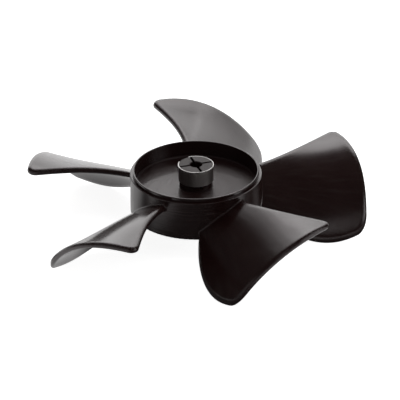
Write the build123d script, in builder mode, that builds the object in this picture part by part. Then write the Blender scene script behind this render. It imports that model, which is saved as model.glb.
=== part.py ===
"""Small axial fan for an evaporator: a one-piece moulding and the spring ring that clamps it to a shaft."""

import os
from collections import namedtuple
from math import cos, degrees, radians, sin, tan

from build123d import *

# Sizes are in millimetres and angles in degrees.
# Z runs along the shaft axis towards the motor, and Z = 0 is the plane of the hub's rim.

# Whole fan
fan_radius = 54.9
blade_count = 5
first_blade_angle = 7.6

# Hub: a ring wall with a thin lip on top, closed by a web inside
hub_radius = 21.2
hub_height = 14.3
hub_wall = 1.45
hub_edge_round = 0.4
cup_depth = 5.5
cup_floor_round = 0.5
web_thickness = 1.6
lip_height = 1.2
lip_thickness = 0.6
lip_flat = 0.1

# Split collet that grips the shaft
shaft_diameter = 4.0
bore_chamfer = 0.2
collet_radius = 5.4
collet_rise = 1.9
slot_count = 4
slot_width = 0.85
slot_angle = 19.0

# Spring ring pushed over the collet, level with its top and clear of the cup's floor
ring_clearance = 0.08
ring_thickness = 0.32
ring_standoff = 0.8
ring_gap = 45.0
ring_gap_angle = 137.0
ring_edge_round = 0.1

# Blade: a cambered sheet on a plane that is tilted at the blade's pitch
blade_thickness = 1.8
blade_lower_round = 0.55
blade_edge_flat = 0.25
blade_camber = 40.0
blade_pitch = 30.7
blade_root_margin = 2.8
blade_root_depth = 2.75
blade_root_round = 0.5

# Blade outline in plan view: the reach of its two edges, and a tip arc centred just off the shaft
# The sheet it is cut from is wider by an allowance, which grows with the bend of the low edge
low_reach = 14.4
low_corner_round = 5.0
high_reach = 30.9
high_corner_round = 2.6
tip_offset = 0.8
tip_allowance = 3.0
edge_spare = 3.215

# Sizes that follow from the ones above
rim = 0.0
lip_bottom = rim - lip_height
cup_floor = rim - cup_depth
web_bottom = cup_floor - web_thickness
hub_bottom = rim - hub_height
collet_top = rim + collet_rise
cup_radius = hub_radius - hub_wall
lip_radius = cup_radius + lip_thickness
lip_round = (lip_thickness - lip_flat) / 2
shaft_radius = shaft_diameter / 2
ring_inner_radius = collet_radius + ring_clearance
ring_outer_radius = ring_inner_radius + ring_thickness
ring_height = collet_top - cup_floor - ring_standoff
ring_start = ring_gap_angle + ring_gap / 2
pitch = radians(blade_pitch)
blade_middle = (lip_bottom + hub_bottom) / 2
blade_upper_round = blade_thickness - blade_lower_round - blade_edge_flat
low_bend = low_reach / blade_camber
edge_allowance = edge_spare * low_bend**2 * low_reach
root_reach = ((lip_bottom - hub_bottom) / 2 - blade_root_margin) / tan(pitch)
between_blades = first_blade_angle + 180 / blade_count
blade_plane = Plane(origin=(0, 0, blade_middle), x_dir=(1, 0, 0), z_dir=(0, -sin(pitch), cos(pitch)))

# Blade sections, evenly spaced from inside the hub wall to just past the tip
# rise is the section's height above the blade plane in thicknesses, and twist its slope against the plane
# low and high place the blade's two edges in plan view, as shares of their greatest reach to each side
Section = namedtuple("Section", "rise twist low high")
blade_sections = (
    Section(rise=0.61, twist=-3.1, low=root_reach / low_reach, high=root_reach / high_reach),
    Section(rise=0.40, twist=-0.7, low=0.85, high=0.318),
    Section(rise=0.12, twist=-0.4, low=1.0, high=0.512),
    Section(rise=-0.09, twist=0.3, low=0.955, high=0.763),
    Section(rise=0.02, twist=3.9, low=0.715, high=1.0),
)
root_out = cup_radius - blade_root_depth
section_spacing = (fan_radius + tip_allowance - root_out) / (len(blade_sections) - 1)
section_outs = [root_out + section_spacing * index for index in range(len(blade_sections))]

# Points of the blade's two edges in plan view
low_points = [(out, -section.low * low_reach) for out, section in zip(section_outs, blade_sections)]
high_points = [(out, section.high * high_reach) for out, section in zip(section_outs, blade_sections)]

# Corners of the hub's section that are rounded, each with its radius
hub_rounds = (
    ((cup_radius, hub_bottom), hub_edge_round),
    ((hub_radius, hub_bottom), hub_edge_round),
    ((hub_radius, lip_bottom), lip_round),
    ((lip_radius, rim), lip_round),
    ((cup_radius, rim), lip_round),
    ((cup_radius, cup_floor), cup_floor_round),
)

# One blade, pointing along X: a lofted sheet, cut to its outline along the shaft axis, with rounded edges
with BuildPart() as blade:
    for section, (out, low), (_, high) in zip(blade_sections, low_points, high_points):
        twist = radians(section.twist)
        centre = (blade_camber * sin(twist), section.rise * blade_thickness - blade_camber * cos(twist))
        low_span = degrees((edge_allowance - low / cos(pitch)) / blade_camber)
        high_span = degrees((edge_allowance + high / cos(pitch)) / blade_camber)
        start = 90 + section.twist - high_span
        sweep = high_span + low_span
        section_origin = blade_plane.from_local_coords((out, 0, 0))
        with BuildSketch(Plane(origin=section_origin, x_dir=blade_plane.y_dir, z_dir=blade_plane.x_dir)):
            with BuildLine():
                upper = CenterArc(centre, blade_camber + blade_thickness / 2, start, sweep)
                lower = CenterArc(centre, blade_camber - blade_thickness / 2, start, sweep)
                Line(upper @ 0, lower @ 0)
                Line(upper @ 1, lower @ 1)
            make_face()
    loft()

    with BuildSketch() as outline:
        with BuildLine():
            low_edge = Spline(low_points)
            high_edge = Spline(high_points)
            Line(low_edge @ 0, high_edge @ 0)
            Line(low_edge @ 1, high_edge @ 1)
        make_face()
        with Locations((0, -tip_offset)):
            Circle(fan_radius, mode=Mode.INTERSECT)
        fillet(outline.vertices().sort_by(Axis.Y)[0], low_corner_round)
        fillet(outline.vertices().sort_by(Axis.Y)[-1], high_corner_round)
    extrude(amount=fan_radius, both=True, mode=Mode.INTERSECT)

    for side, rim_round in ((0, blade_lower_round), (-1, blade_upper_round)):
        sheet_face = blade.faces().sort_by(SortBy.AREA)[-2:].sort_by(Axis.Z)[side]
        fillet(sheet_face.edges().filter_by_position(Axis.X, root_out, fan_radius, (False, True)), rim_round)
    Cylinder(hub_radius - hub_wall / 2, 2 * fan_radius, mode=Mode.SUBTRACT)

# The moulding: the hub and its collet are one turned shape, and the blades grow out of its wall
with BuildPart() as fan:
    with BuildSketch(Plane.XZ.rotated((0, 0, between_blades))) as hub_section:
        with BuildLine():
            Polyline(
                (shaft_radius, web_bottom),
                (cup_radius, web_bottom),
                (cup_radius, hub_bottom),
                (hub_radius, hub_bottom),
                (hub_radius, lip_bottom),
                (lip_radius, lip_bottom),
                (lip_radius, rim),
                (cup_radius, rim),
                (cup_radius, cup_floor),
                (collet_radius, cup_floor),
                (collet_radius, collet_top),
                (shaft_radius, collet_top),
                close=True,
            )
        make_face()
        for corner, radius in hub_rounds:
            fillet(hub_section.vertices().sort_by_distance(corner)[0], radius)
        chamfer(hub_section.vertices().sort_by_distance((shaft_radius, collet_top))[0], bore_chamfer)
    revolve(axis=Axis.Z)

    with PolarLocations(0, blade_count, first_blade_angle):
        add(blade.part)
    outer_wall = fan.faces().filter_by(GeomType.CYLINDER).sort_by(SortBy.AREA)[-1]
    fillet(outer_wall.inner_wires().edges(), blade_root_round)

    with Locations((0, 0, collet_top)):
        with PolarLocations(0, slot_count, slot_angle):
            slot_align = (Align.MIN, Align.CENTER, Align.MAX)
            Box(2 * collet_radius, slot_width, ring_height, align=slot_align, mode=Mode.SUBTRACT)

# The spring ring: a split band around the collet
with BuildPart() as clamp_ring:
    with BuildSketch(Plane.XY.offset(collet_top)):
        with BuildLine():
            outside = CenterArc((0, 0), ring_outer_radius, ring_start, 360 - ring_gap)
            inside = CenterArc((0, 0), ring_inner_radius, ring_start, 360 - ring_gap)
            Line(outside @ 0, inside @ 0)
            Line(outside @ 1, inside @ 1)
        make_face()
    extrude(amount=-ring_height)
    fillet(clamp_ring.edges(), ring_edge_round)

fan.part.label = "fan"
clamp_ring.part.label = "clamp_ring"

os.makedirs("parts", exist_ok=True)
export_step(fan.part, "parts/fan.step")
export_step(clamp_ring.part, "parts/clamp_ring.step")
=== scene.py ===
import math
from collections import namedtuple

import bmesh
import bpy
from mathutils import Matrix, Vector


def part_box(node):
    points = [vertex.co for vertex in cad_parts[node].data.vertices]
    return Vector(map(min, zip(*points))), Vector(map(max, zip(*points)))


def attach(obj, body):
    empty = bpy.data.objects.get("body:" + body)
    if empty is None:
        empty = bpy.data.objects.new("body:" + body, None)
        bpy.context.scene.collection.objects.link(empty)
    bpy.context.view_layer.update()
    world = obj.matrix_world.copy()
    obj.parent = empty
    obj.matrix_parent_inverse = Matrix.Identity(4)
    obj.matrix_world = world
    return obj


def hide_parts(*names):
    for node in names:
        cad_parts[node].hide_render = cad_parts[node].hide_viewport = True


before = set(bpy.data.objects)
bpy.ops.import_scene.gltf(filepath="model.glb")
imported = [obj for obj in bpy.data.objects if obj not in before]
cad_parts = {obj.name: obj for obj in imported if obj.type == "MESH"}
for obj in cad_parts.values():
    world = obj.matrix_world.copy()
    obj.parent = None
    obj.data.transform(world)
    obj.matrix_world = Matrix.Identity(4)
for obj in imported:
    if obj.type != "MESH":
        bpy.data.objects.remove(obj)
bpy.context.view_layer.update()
scene = bpy.context.scene
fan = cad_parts["fan"]
fan_low, fan_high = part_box("fan")

# Places on the fan, in metres from the shaft axis and from the plane of the hub's rim
CUP_RADIUS = 0.01975
CUP_FLOOR_Z = -0.0055
HUB_RADIUS = 0.0212
COLLET_RADIUS = 0.0054
COLLET_TOP_Z = fan_high.z
FLOOR_Z = fan_low.z

# Length over which one finish fades into the next
FADE = 0.0002

# Spring band: a strip around the collet, with a wider lip on top and a gap in degrees on the far side
BAND_STANDOFF = 0.002
BAND_INNER = 0.00548
BAND_OUTER = 0.00564
LIP_OUTER = 0.0058
LIP_HEIGHT = 0.0006
EDGE_ROUND = 0.00005
BAND_STEPS = 120
GAP_ANGLE = 137.0
GAP = 45.0
CREASE_ANGLE = 30.0

# Colours of the plastic and of what lies on it
PLASTIC_DEEP = (0.0118, 0.0038, 0.0035, 1)
PLASTIC_LIGHT = (0.0155, 0.0060, 0.0054, 1)
SCUFF_TONE = (0.03, 0.025, 0.023, 1)
RUBBED_TONE = (0.03, 0.020, 0.018, 1)
FLOW_TONE = (0.026, 0.018, 0.016, 1)
WORN_TONE = (0.035, 0.028, 0.026, 1)
COLLET_END_TONE = (0.028, 0.022, 0.021, 1)
DUST_TONE = (0.32, 0.29, 0.26, 1)
PLASTIC_TINT = (1.0, 0.945, 0.95, 1)
PLASTIC_IOR = 1.5

# Roughness of the plastic: a range over the blades, a range over the cup's floor, and single values
BLADE_ROUGHNESS = (0.16, 0.21)
CUP_FLOOR_ROUGHNESS = (0.10, 0.6)
WALL_ROUGHNESS = 0.26
CORNER_ROUGHNESS = 0.7
COLLET_END_ROUGHNESS = 0.6

# Heights of the plastic's relief, and the width over which the blades' rims are softened
GRAIN_HEIGHT = 2.2e-6
WAVE_HEIGHT = 1.1e-5
SAG_HEIGHT = 6.0e-5
HUB_LINE_HEIGHT = 5.0e-5
SWIRL_HEIGHT = 4.0e-6
COARSE_HEIGHT = 1.2e-4
RIM_SOFTNESS = 0.0022

# Densities of the patterns, per radian around the shaft axis and per metre outwards or upwards
HUB_LINES_AROUND, HUB_LINES_UP = 2.0, 2300.0
CUP_LINES_AROUND, CUP_LINES_OUT = 1.2, 2200.0
FLOW_LINES_AROUND, FLOW_LINES_OUT = 30.0, 70.0
SPOKES_AROUND, SPOKES_OUT = 22.0, 500.0
BRUSHED_AROUND, BRUSHED_UP = 3.0, 9000.0

# Where the cup's floor turns from more polished to less, from left to right
CUP_POLISH_X = (-0.006, 0.012)
CUP_POLISH = (0.004, -0.07)

# Colours and finish of the spring steel
STEEL_DARK = (0.40, 0.39, 0.38, 1)
STEEL_LIGHT = (0.50, 0.49, 0.48, 1)
# The next two colours are painted shade round the band's side and a painted highlight on the front-right of
# the side
STEEL_PAINTED_SHADE = (0.20, 0.18, 0.175, 1)
STEEL_PAINTED_HIGHLIGHT = (0.70, 0.69, 0.67, 1)
STEEL_SMUDGED = (0.16, 0.145, 0.13, 1)
STEEL_EDGE = (0.55, 0.54, 0.52, 1)
STEEL_METALLIC = 0.85
STEEL_ROUGHNESS = (0.36, 0.46)
BRUSHED_HEIGHT = 2.5e-6
# Angles in radians around the shaft of the painted highlight on the band's side, and the width of its fade
PAINTED_HIGHLIGHT_ANGLES = (-1.5, -0.95)
PAINTED_HIGHLIGHT_FADE = 0.5

# Soft boxes around the hub: azimuth in degrees from straight behind to the right, and elevation
PANEL_DISTANCE = 0.75
Panel = namedtuple("Panel", "name azimuths elevations radiance")
PANELS = (
    Panel("back_high", (-12, 36), (36, 51), 3.9),
    Panel("back_middle", (-12, 36), (28, 36), 2.9),
    Panel("back_fade_1", (-20, -12), (27, 51), 2.2),
    Panel("back_fade_2", (-28, -20), (27, 51), 1.1),
    Panel("back_fade_3", (-36, -28), (27, 51), 0.5),
    Panel("back_low", (-36, 18), (4, 28), 2.0),
    Panel("back_low_fade_1", (18, 24), (4, 28), 1.75),
    Panel("back_low_fade_2", (24, 30), (4, 28), 1.4),
    Panel("back_low_fade_3", (30, 38), (4, 28), 1.05),
    Panel("back_horizon", (-40, 40), (-2, 4), 1.4),
    Panel("right_card", (88, 122), (16, 36), 3.2),
    Panel("front_card", (150, 164), (37, 49), 2.0),
    Panel("front_left_card", (-160, -100), (8, 40), 0.35),
)
OVERHEAD = Panel("overhead", (-80, 80), (52, 118), 0.8)
SURROUND_STRENGTH = 0.06

# Floor: where the glossy fan mirrors it white, from the first value to the second, and elsewhere a painted
# shadow of the fan that only reflections show
FLOOR_SIZE = 6.0
FLOOR_WHITE = (0.85, 0.85, 0.85, 1)
FLOOR_PAINTED_SHADOW = (0.04, 0.04, 0.04, 1)
FLOOR_GLOW_SEEN = 0.9
FLOOR_GLOW_MIRRORED = 0.7
MIRROR_BEHIND_Y = (-0.005, 0.008)
MIRROR_SLANT = 0.8
MIRROR_LEFT_X = (-0.036, -0.026)
MIRROR_RIGHT_X = (0.025, 0.04)
MIRROR_FRONT_Y = (-0.02, -0.01)

# Camera: the photograph's long lens, turned a little off the hub so that the frame matches
PHOTO_WIDTH_PX = 400.0
FOCAL_PX = 4183.82
AIM_PX = (4.111, -30.503)
ELEVATION = math.radians(27.7586)
ROLL = math.radians(0.4347)
DISTANCE = 1.34408
SENSOR_WIDTH_MM = 36.0


# Node helpers
def add(tree, kind, settings=None, **inputs):
    """A node with its settings, and its inputs linked to a socket or set to a value, by name or as i0, i1."""
    node = tree.nodes.new(kind)
    for name, value in (settings or {}).items():
        setattr(node, name, value)
    for name, value in inputs.items():
        index = int(name[1:]) if name[0] == "i" and name[1:].isdigit() else name.replace("_", " ")
        plug(tree, node.inputs[index], value)
    return node


def plug(tree, socket, value):
    """Link a socket into another, or set its value."""
    if isinstance(value, bpy.types.NodeSocket):
        tree.links.new(value, socket)
    else:
        socket.default_value = value


def math_node(tree, operation, first, second=0.0, clamp=False):
    node = add(tree, "ShaderNodeMath", {"operation": operation, "use_clamp": clamp}, i0=first, i1=second)
    return node.outputs[0]


def times(tree, first, second):
    return math_node(tree, "MULTIPLY", first, second)


def plus(tree, first, second):
    return math_node(tree, "ADD", first, second)


def minus(tree, first, second):
    return math_node(tree, "SUBTRACT", first, second)


def larger(tree, first, second):
    return math_node(tree, "MAXIMUM", first, second)


def between(tree, value, low, high, out_low=0.0, out_high=1.0):
    """Smooth step of a value from low to high."""
    settings = {"interpolation_type": "SMOOTHSTEP"}
    node = add(tree, "ShaderNodeMapRange", settings, i0=value, i1=low, i2=high, i3=out_low, i4=out_high)
    return node.outputs[0]


def below(tree, value, low, high):
    """Mask that is 1 up to low and fades out at high."""
    return between(tree, value, low, high, out_low=1.0, out_high=0.0)


def band(tree, value, low, high, soft):
    """Mask that is 1 between low and high and fades out over soft on each side."""
    rise = between(tree, value, low - soft, low)
    return times(tree, rise, below(tree, value, high, high + soft))


def blend_colour(tree, mask, first, second):
    node = add(tree, "ShaderNodeMix", {"data_type": "RGBA"}, i0=mask, i6=first, i7=second)
    return node.outputs[2]


def blend_value(tree, mask, first, second):
    node = add(tree, "ShaderNodeMix", {"data_type": "FLOAT"}, i0=mask, i2=first, i3=second)
    return node.outputs[0]


def split(tree, vector):
    return add(tree, "ShaderNodeSeparateXYZ", None, i0=vector).outputs


def join(tree, x, y=0.0, z=0.0):
    return add(tree, "ShaderNodeCombineXYZ", None, i0=x, i1=y, i2=z).outputs[0]


def noise(tree, vector, scale=1.0, detail=2.0, roughness=0.5):
    settings = {"Vector": vector, "Scale": scale, "Detail": detail, "Roughness": roughness}
    return add(tree, "ShaderNodeTexNoise", None, **settings).outputs[0]


def object_coordinates(tree):
    return tree.nodes.new("ShaderNodeTexCoord").outputs["Object"]


def surface_normal(tree):
    return tree.nodes.new("ShaderNodeNewGeometry").outputs["Normal"]


def new_group(name, inputs, outputs):
    """A shader node group with number sockets, its input node and its output node."""
    group = bpy.data.node_groups.new(name, "ShaderNodeTree")
    for label, value in inputs:
        socket = group.interface.new_socket(name=label, in_out="INPUT", socket_type="NodeSocketFloat")
        socket.default_value = value
    for label in outputs:
        group.interface.new_socket(name=label, in_out="OUTPUT", socket_type="NodeSocketFloat")
    return group, group.nodes.new("NodeGroupInput"), group.nodes.new("NodeGroupOutput")


def use_group(tree, group, **inputs):
    """The outputs of a node group, used with these inputs."""
    return add(tree, "ShaderNodeGroup", {"node_tree": group}, **inputs).outputs


# Effects that the plastic and the steel share
def make_edge_wear():
    """Mask of rubbed edges: where the surface turns within a small distance, broken up by noise."""
    group, given, made = new_group("edge_wear", [("Width", 0.0004), ("Breakup", 900.0)], ["Mask"])
    place = object_coordinates(group)
    rounded = add(group, "ShaderNodeBevel", {"samples": 6}, Radius=given.outputs["Width"]).outputs[0]
    flat = surface_normal(group)
    facing = add(group, "ShaderNodeVectorMath", {"operation": "DOT_PRODUCT"}, i0=rounded, i1=flat)
    turned = between(group, minus(group, 1.0, facing.outputs["Value"]), 0.01, 0.12)
    breakup = noise(group, place, scale=given.outputs["Breakup"], detail=3.0, roughness=0.6)
    patchy = between(group, breakup, 0.35, 0.7)
    plug(group, made.inputs["Mask"], times(group, turned, patchy))
    return group


def make_dust():
    """Mask of fine dust that has settled on what faces up."""
    group, given, made = new_group("settled_dust", [("Amount", 0.3)], ["Mask"])
    place = object_coordinates(group)
    upward = between(group, split(group, surface_normal(group))[2], 0.2, 0.95)
    cells = add(group, "ShaderNodeTexVoronoi", None, Vector=place, Scale=650.0, Randomness=1.0)
    specks = below(group, cells.outputs["Distance"], 0.05, 0.16)
    chosen = between(group, split(group, cells.outputs["Color"])[0], 0.86, 0.9)
    clouds = noise(group, place, scale=140.0, detail=4.0, roughness=0.6)
    haze = between(group, clouds, 0.5, 0.85, out_high=0.12)
    laid = plus(group, times(group, specks, chosen), haze)
    amount = times(group, laid, given.outputs["Amount"])
    plug(group, made.inputs["Mask"], math_node(group, "MULTIPLY", amount, upward, clamp=True))
    return group


def make_smudges():
    """Broad uneven gloss from handling, and fine hairline scuffs."""
    group, given, made = new_group("handling_smudges", [("Scale", 60.0)], ["Smudge", "Scuff"])
    place = object_coordinates(group)
    clouds = noise(group, place, scale=given.outputs["Scale"], detail=4.0, roughness=0.55)
    plug(group, made.inputs["Smudge"], between(group, clouds, 0.3, 0.7))
    stretch = {"Vector": place, "Rotation": (0.3, 0.2, 0.7), "Scale": (60.0, 1400.0, 900.0)}
    stretched = add(group, "ShaderNodeMapping", None, **stretch).outputs[0]
    hairs = noise(group, stretched, detail=1.0, roughness=0.4)
    patches = between(group, noise(group, place, scale=45.0, detail=1.0), 0.52, 0.62)
    plug(group, made.inputs["Scuff"], times(group, between(group, hairs, 0.68, 0.74), patches))
    return group


edge_wear = make_edge_wear()
settled_dust = make_dust()
handling_smudges = make_smudges()


# Materials
def new_material(name):
    material = bpy.data.materials.new(name)
    material.use_nodes = True
    tree = material.node_tree
    return material, tree, tree.nodes["Principled BSDF"]


Spot = namedtuple("Spot", "place x radius angle height")
Zones = namedtuple("Zones", "cup_floor cup_wall cup_corner hub_side collet_end blades")
Marks = namedtuple("Marks", "smudge scuff wear dust")


def find_spot(tree):
    """Object coordinates, with the distance from the shaft axis, the angle around it and the height."""
    place = object_coordinates(tree)
    axes = split(tree, place)
    across = join(tree, axes[0], axes[1])
    radius = add(tree, "ShaderNodeVectorMath", {"operation": "LENGTH"}, i0=across).outputs["Value"]
    angle = math_node(tree, "ARCTAN2", axes[1], axes[0])
    return Spot(place, axes[0], radius, angle, axes[2])


def find_zones(tree, spot):
    """Masks of the parts of the moulding that differ in finish."""
    in_cup = below(tree, spot.radius, CUP_RADIUS - 2 * FADE, CUP_RADIUS + FADE)
    floor_level = band(tree, spot.height, CUP_FLOOR_Z - 1.5 * FADE, CUP_FLOOR_Z + 1.5 * FADE, FADE)
    near_wall = band(tree, spot.radius, CUP_RADIUS - 3 * FADE, CUP_RADIUS, FADE / 2)
    near_floor = below(tree, spot.height, CUP_FLOOR_Z + 2 * FADE, CUP_FLOOR_Z + 3.5 * FADE)
    in_collet = below(tree, spot.radius, COLLET_RADIUS, COLLET_RADIUS + FADE)
    at_top = between(tree, spot.height, COLLET_TOP_Z - 3 * FADE, COLLET_TOP_Z - 1.5 * FADE)
    return Zones(
        cup_floor=times(tree, in_cup, floor_level),
        cup_wall=band(tree, spot.radius, CUP_RADIUS - FADE / 2, CUP_RADIUS + FADE / 2, FADE / 2),
        cup_corner=times(tree, near_wall, near_floor),
        hub_side=band(tree, spot.radius, HUB_RADIUS - FADE, HUB_RADIUS + FADE, FADE),
        collet_end=times(tree, in_collet, at_top),
        blades=between(tree, spot.radius, HUB_RADIUS + 2.5 * FADE, HUB_RADIUS + 10 * FADE),
    )


def find_marks(tree, smudge_scale, wear_width, wear_breakup, dust_amount):
    """Masks of the marks of use that both materials have."""
    smudges = use_group(tree, handling_smudges, Scale=smudge_scale)
    wear = use_group(tree, edge_wear, Width=wear_width, Breakup=wear_breakup)["Mask"]
    dust = use_group(tree, settled_dust, Amount=dust_amount)["Mask"]
    return Marks(smudges["Smudge"], smudges["Scuff"], wear, dust)


def around_hub(tree, spot):
    """Coordinates for noise that runs in level lines around the hub."""
    return join(tree, times(tree, spot.angle, HUB_LINES_AROUND), z=times(tree, spot.height, HUB_LINES_UP))


def around_cup(tree, spot):
    """Coordinates for noise that runs in circles on the cup's floor."""
    return join(tree, times(tree, spot.radius, CUP_LINES_OUT), times(tree, spot.angle, CUP_LINES_AROUND))


def plastic_colour(tree, spot, zones, marks):
    """Warm black with rubbed lines around the hub, faint flow lines along the blades, wear and dust."""
    hub_noise = noise(tree, around_hub(tree, spot), roughness=0.6)
    rubbed = times(tree, between(tree, hub_noise, 0.48, 0.68), zones.hub_side)
    flow_out = times(tree, spot.radius, FLOW_LINES_OUT)
    flow_noise = noise(tree, join(tree, times(tree, spot.angle, FLOW_LINES_AROUND), flow_out), 1.0, 3.0, 0.6)
    flow = between(tree, flow_noise, 0.46, 0.72, out_high=0.4)
    colour = blend_colour(tree, marks.smudge, PLASTIC_DEEP, PLASTIC_LIGHT)
    layers = (
        (times(tree, marks.scuff, 0.15), SCUFF_TONE),
        (times(tree, rubbed, 0.5), RUBBED_TONE),
        (times(tree, flow, zones.blades), FLOW_TONE),
        (times(tree, marks.wear, 0.2), WORN_TONE),
        (times(tree, zones.collet_end, 0.6), COLLET_END_TONE),
        (marks.dust, DUST_TONE),
    )
    for mask, tone in layers:
        colour = blend_colour(tree, mask, colour, tone)
    return colour


def cup_floor_roughness(tree, spot):
    """Fine circles, polished and dull by turns, with more of the dull ones to the right and in patches."""
    circles = around_cup(tree, spot)
    polish = between(tree, spot.x, *CUP_POLISH_X, *CUP_POLISH)
    lines = minus(tree, noise(tree, circles, scale=27.0, roughness=0.6), polish)
    patches = times(tree, noise(tree, circles, scale=0.8), 0.12)
    lines = plus(tree, lines, minus(tree, patches, 0.06))
    polished, dull = CUP_FLOOR_ROUGHNESS
    return between(tree, lines, 0.42, 0.54, out_low=polished, out_high=dull)


def plastic_roughness(tree, spot, zones, marks):
    roughness = blend_value(tree, marks.smudge, *BLADE_ROUGHNESS)
    zone_values = (
        (zones.cup_floor, cup_floor_roughness(tree, spot)),
        (larger(tree, zones.hub_side, zones.cup_wall), WALL_ROUGHNESS),
        (zones.cup_corner, CORNER_ROUGHNESS),
        (zones.collet_end, COLLET_END_ROUGHNESS),
    )
    for mask, value in zone_values:
        roughness = blend_value(tree, mask, roughness, value)
    for mark, amount in ((marks.scuff, 0.08), (marks.wear, 0.06), (marks.dust, 0.3)):
        roughness = plus(tree, roughness, times(tree, mark, amount))
    return roughness


def plastic_relief(tree, spot, zones):
    """Height of the moulded surface: grain and sink all over, lines on hub and cup, a coarse collet end."""
    spokes = join(tree, times(tree, spot.angle, SPOKES_AROUND), times(tree, spot.radius, SPOKES_OUT))
    hub_lines = times(tree, noise(tree, around_hub(tree, spot), roughness=0.6), HUB_LINE_HEIGHT)
    swirls = times(tree, noise(tree, around_cup(tree, spot), detail=1.0), SWIRL_HEIGHT)
    coarse = times(tree, noise(tree, spokes, detail=3.0, roughness=0.6), COARSE_HEIGHT)
    relief = times(tree, noise(tree, spot.place, scale=2600.0, roughness=0.6), GRAIN_HEIGHT)
    layers = (
        times(tree, noise(tree, spot.place, scale=260.0), WAVE_HEIGHT),
        times(tree, noise(tree, spot.place, scale=45.0, detail=1.0), SAG_HEIGHT),
        times(tree, hub_lines, zones.hub_side),
        times(tree, swirls, zones.cup_floor),
        times(tree, coarse, zones.collet_end),
    )
    for layer in layers:
        relief = plus(tree, relief, layer)
    return relief


def black_plastic():
    """Warm black moulded plastic, with other finishes on the cup, the hub's wall and the collet's end."""
    material, tree, shader = new_material("black_plastic")
    spot = find_spot(tree)
    zones = find_zones(tree, spot)
    marks = find_marks(tree, smudge_scale=70.0, wear_width=0.0005, wear_breakup=700.0, dust_amount=0.04)
    plug(tree, shader.inputs["Base Color"], plastic_colour(tree, spot, zones, marks))
    plug(tree, shader.inputs["Roughness"], plastic_roughness(tree, spot, zones, marks))
    rim_radius = times(tree, zones.blades, RIM_SOFTNESS)
    soft_rim = add(tree, "ShaderNodeBevel", {"samples": 8}, Radius=rim_radius).outputs[0]
    relief = plastic_relief(tree, spot, zones)
    bump = add(tree, "ShaderNodeBump", None, Strength=1.0, Distance=1.0, Height=relief, Normal=soft_rim)
    plug(tree, shader.inputs["Normal"], bump.outputs[0])
    shader.inputs["IOR"].default_value = PLASTIC_IOR
    shader.inputs["Specular Tint"].default_value = PLASTIC_TINT
    return material


def spring_steel():
    """Rolled grey steel strip, brushed along the band, with a painted highlight on the front-right of its
    side and painted shade round the rest of its side.
    """
    material, tree, shader = new_material("spring_steel")
    spot = find_spot(tree)
    marks = find_marks(tree, smudge_scale=220.0, wear_width=0.00015, wear_breakup=1500.0, dust_amount=0.2)
    up_band = times(tree, spot.height, BRUSHED_UP)
    along_band = join(tree, times(tree, spot.angle, BRUSHED_AROUND), z=up_band)
    brushed = noise(tree, along_band, detail=3.0, roughness=0.65)

    colour = blend_colour(tree, between(tree, brushed, 0.3, 0.7), STEEL_DARK, STEEL_LIGHT)
    # Painted highlight on the front-right of the band's side, with painted shade round the rest of the side
    polished = band(tree, spot.angle, *PAINTED_HIGHLIGHT_ANGLES, PAINTED_HIGHLIGHT_FADE)
    uneven = blend_colour(tree, polished, STEEL_PAINTED_SHADE, STEEL_PAINTED_HIGHLIGHT)
    on_side = between(tree, spot.height, COLLET_TOP_Z - 2.5 * FADE, COLLET_TOP_Z - FADE, 0.85, 0.0)
    layers = (
        (on_side, uneven),
        (times(tree, marks.smudge, 0.2), STEEL_SMUDGED),
        (marks.wear, STEEL_EDGE),
        (marks.dust, DUST_TONE),
    )
    for mask, tone in layers:
        colour = blend_colour(tree, mask, colour, tone)
    plug(tree, shader.inputs["Base Color"], colour)

    shader.inputs["Metallic"].default_value = STEEL_METALLIC
    roughness = blend_value(tree, marks.smudge, *STEEL_ROUGHNESS)
    plug(tree, shader.inputs["Roughness"], plus(tree, roughness, times(tree, marks.scuff, 0.1)))
    relief = times(tree, brushed, BRUSHED_HEIGHT)
    bump = add(tree, "ShaderNodeBump", None, Strength=1.0, Distance=1.0, Height=relief)
    plug(tree, shader.inputs["Normal"], bump.outputs[0])
    return material


def dress(obj, material):
    obj.data.materials.clear()
    obj.data.materials.append(material)


# The clamp ring
def spring_band():
    """The clamp ring as a pressed strip: a split band with rounded edges and a slightly wider upper lip."""
    low, high, lip = CUP_FLOOR_Z + BAND_STANDOFF, COLLET_TOP_Z, COLLET_TOP_Z - LIP_HEIGHT
    section = [
        (BAND_INNER, low + EDGE_ROUND),
        (BAND_INNER + EDGE_ROUND, low),
        (BAND_OUTER - EDGE_ROUND, low),
        (BAND_OUTER, low + EDGE_ROUND),
        (BAND_OUTER, lip - EDGE_ROUND),
        (LIP_OUTER, lip + EDGE_ROUND),
        (LIP_OUTER, high - EDGE_ROUND),
        (LIP_OUTER - EDGE_ROUND, high),
        (BAND_INNER + EDGE_ROUND, high),
        (BAND_INNER, high - EDGE_ROUND),
    ]
    mesh = bmesh.new()
    rings = []
    for step in range(BAND_STEPS + 1):
        turn = math.radians(GAP_ANGLE + GAP / 2 + (360 - GAP) * step / BAND_STEPS)
        rings.append([mesh.verts.new((r * math.cos(turn), r * math.sin(turn), z)) for r, z in section])
    for one, two in zip(rings, rings[1:]):
        for i in range(len(section)):
            j = (i + 1) % len(section)
            mesh.faces.new((one[i], two[i], two[j], one[j]))
    mesh.faces.new(rings[0])
    mesh.faces.new(reversed(rings[-1]))
    bmesh.ops.recalc_face_normals(mesh, faces=mesh.faces)
    data = bpy.data.meshes.new("clamp_ring_band")
    mesh.to_mesh(data)
    mesh.free()
    data.shade_smooth()
    data.set_sharp_from_angle(angle=math.radians(CREASE_ANGLE))
    band_object = bpy.data.objects.new("clamp_ring_band", data)
    scene.collection.objects.link(band_object)
    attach(band_object, "root")
    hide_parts("clamp_ring")
    return band_object


dress(fan, black_plastic())
dress(spring_band(), spring_steel())


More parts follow.
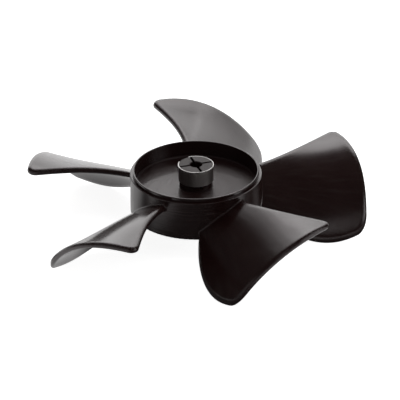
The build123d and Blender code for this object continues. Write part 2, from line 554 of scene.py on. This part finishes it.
# Stage: soft boxes, a white floor and a white surround
def soft_box(panel):
    """An area light that faces the hub and fills a panel's range of directions."""
    azimuth = math.radians(sum(panel.azimuths) / 2)
    elevation = math.radians(sum(panel.elevations) / 2)
    width = math.radians(panel.azimuths[1] - panel.azimuths[0])
    height = math.radians(panel.elevations[1] - panel.elevations[0])
    data = bpy.data.lights.new(panel.name, "AREA")
    data.shape = "RECTANGLE"
    data.size = 2 * PANEL_DISTANCE * math.cos(elevation) * math.tan(width / 2)
    data.size_y = 2 * PANEL_DISTANCE * math.tan(height / 2)
    data.energy = panel.radiance * math.pi * data.size * data.size_y
    lamp = bpy.data.objects.new(panel.name, data)
    scene.collection.objects.link(lamp)
    level = Vector((math.sin(azimuth), math.cos(azimuth), 0))
    towards = level * math.cos(elevation) + Vector((0, 0, math.sin(elevation)))
    lamp.location = towards * PANEL_DISTANCE
    lamp.rotation_mode = "QUATERNION"
    lamp.rotation_quaternion = towards.to_track_quat("Z", "Y")
    lamp.visible_camera = False
    return lamp


def mirrored_floor(tree):
    """Mask of the floor that the fan mirrors as white: behind the hub, and well to each side in front; the
    rest is a painted shadow of the fan for reflections.
    """
    axes = split(tree, object_coordinates(tree))
    slanted = times(tree, larger(tree, axes[0], 0.0), MIRROR_SLANT)
    behind = between(tree, minus(tree, axes[1], slanted), *MIRROR_BEHIND_Y, out_low=0.06)
    left = between(tree, axes[0], *MIRROR_LEFT_X, out_low=0.95, out_high=0.0)
    right = between(tree, axes[0], *MIRROR_RIGHT_X)
    in_front = below(tree, axes[1], *MIRROR_FRONT_Y)
    return larger(tree, behind, times(tree, larger(tree, left, right), in_front))


def white_floor():
    """A white table top that stays white for the camera, with the fan's shadow on it. In reflections it glows
    white where mirrored and carries a painted shadow of the fan elsewhere.
    """
    material, tree, shader = new_material("floor_white")
    shader.inputs["Roughness"].default_value = 0.9
    shader.inputs["Specular IOR Level"].default_value = 0.0
    mirrored = mirrored_floor(tree)
    rays = tree.nodes.new("ShaderNodeLightPath").outputs
    glossy = larger(tree, rays["Is Glossy Ray"], rays["Is Transmission Ray"])
    # Painted shadow of the fan, seen only in reflections, where the floor is not mirrored as white
    painted_shadow = times(tree, glossy, minus(tree, 1.0, mirrored))
    plug(tree, shader.inputs["Base Color"], blend_colour(tree, painted_shadow, FLOOR_WHITE, FLOOR_PAINTED_SHADOW))
    seen = times(tree, rays["Is Camera Ray"], FLOOR_GLOW_SEEN)
    lit = times(tree, times(tree, glossy, mirrored), FLOOR_GLOW_MIRRORED)
    shader.inputs["Emission Color"].default_value = (1, 1, 1, 1)
    plug(tree, shader.inputs["Emission Strength"], larger(tree, seen, lit))
    return material


def studio_surround():
    """A world that is white for the camera and gives only a little light."""
    world = bpy.data.worlds.new("studio")
    world.use_nodes = True
    tree = world.node_tree
    background = tree.nodes["Background"]
    background.inputs["Color"].default_value = (1, 1, 1, 1)
    seen = tree.nodes.new("ShaderNodeLightPath").outputs["Is Camera Ray"]
    plug(tree, background.inputs["Strength"], blend_value(tree, seen, SURROUND_STRENGTH, 1.0))
    return world


for panel in PANELS:
    soft_box(panel)
soft_box(OVERHEAD).visible_glossy = False

bpy.ops.mesh.primitive_plane_add(size=FLOOR_SIZE, location=(0, 0, FLOOR_Z))
floor = bpy.context.object
floor.name = "floor"
dress(floor, white_floor())
scene.world = studio_surround()


def photo_camera():
    """A camera that stands where the photograph was taken from."""
    forward = Vector((0, math.cos(ELEVATION), -math.sin(ELEVATION)))
    level_up = Vector((0, math.sin(ELEVATION), math.cos(ELEVATION)))
    level_right = Vector((1, 0, 0))
    right = level_right * math.cos(ROLL) - level_up * math.sin(ROLL)
    up = level_right * math.sin(ROLL) + level_up * math.cos(ROLL)
    aim = (forward * FOCAL_PX + right * AIM_PX[0] + up * AIM_PX[1]).normalized()
    right = (right - aim * right.dot(aim)).normalized()
    up = right.cross(aim)
    data = bpy.data.cameras.new("camera")
    data.sensor_width = SENSOR_WIDTH_MM
    data.lens = SENSOR_WIDTH_MM * FOCAL_PX / PHOTO_WIDTH_PX
    data.clip_start = 0.01
    data.clip_end = 20.0
    camera = bpy.data.objects.new("camera", data)
    scene.collection.objects.link(camera)
    turn = Matrix((right, up, -aim)).transposed().to_4x4()
    camera.matrix_world = Matrix.Translation(forward * -DISTANCE) @ turn
    return camera


scene.camera = photo_camera()
scene.view_settings.view_transform = "Standard"
